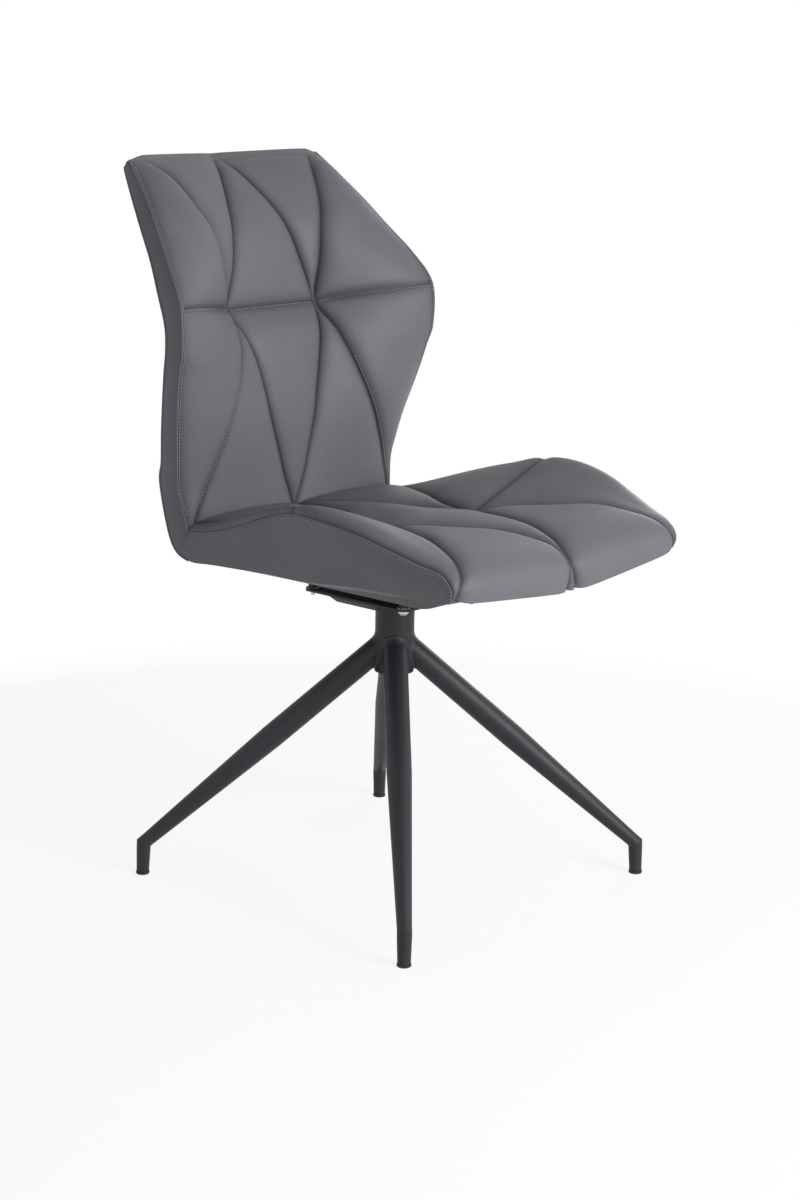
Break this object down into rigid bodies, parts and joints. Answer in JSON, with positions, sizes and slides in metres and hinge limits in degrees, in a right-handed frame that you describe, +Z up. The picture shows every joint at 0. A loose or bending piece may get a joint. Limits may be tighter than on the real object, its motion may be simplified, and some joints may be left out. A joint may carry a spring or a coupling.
{
  "type": "swivel dining chair",
  "caption": "Upholstered dining chair with winged seat and back, sewn star channels, and a four-leg steel base on which the seat swivels.",
  "frame": {"origin": "on the floor, on the vertical swivel axis at the centre of the four feet", "axes": "+Z up; the sitter faces -Y and the sitter's left is +X"},
  "size_m": [0.4698, 0.606, 0.875],
  "materials": {
    "black_powder_coat": "satin black powder coat",
    "black_plastic": "moulded black plastic",
    "bush_nylon": "natural nylon",
    "zinc_steel": "bright zinc plated",
    "plain_steel": "oiled steel",
    "plywood": "unfinished plywood",
    "grey_leather": "grey coated upholstery leather with fine grain",
    "gusset_leather": "grey coated upholstery leather with fine grain",
    "black_lining": "black non-woven lining"
  },
  "bodies": {
    "base": {"base_column": "black_powder_coat", "column_plug": "black_plastic", "upper_bush": "bush_nylon", "lower_bush": "bush_nylon", "thrust_washer": "plain_steel", "leg_front_left": "black_powder_coat", "glide_front_left": "black_plastic", "leg_rear_left": "black_powder_coat", "glide_rear_left": "black_plastic", "leg_rear_right": "black_powder_coat", "glide_rear_right": "black_plastic", "leg_front_right": "black_powder_coat", "glide_front_right": "black_plastic"},
    "seat": {"swivel_spindle": "plain_steel", "spindle_washer": "plain_steel", "retaining_ring": "plain_steel", "swivel_housing": "black_powder_coat", "mounting_plate": "black_powder_coat", "front_bolts": "zinc_steel", "rear_studs": "zinc_steel", "toothed_washers": "zinc_steel", "spacers": "black_plastic", "tee_nuts": "zinc_steel", "seat_board": "plywood", "dust_cover": "black_lining", "frame_rail_right": "plain_steel", "frame_rail_left": "plain_steel", "front_cross_rail": "plain_steel", "lumbar_cross_rail": "plain_steel", "top_cross_rail": "plain_steel", "frame_screws": "zinc_steel", "seat_pad": "grey_leather", "back_pad": "grey_leather", "back_cover": "gusset_leather", "side_gusset_left": "gusset_leather", "side_gusset_right": "gusset_leather"}
  },
  "joints": [
    {"name": "seat_swivel", "type": "hinge", "parent": "base", "child": "seat", "pos_m": [0, 0, 0.3], "axis": [0, 0, 1], "continuous": true}
  ]
}
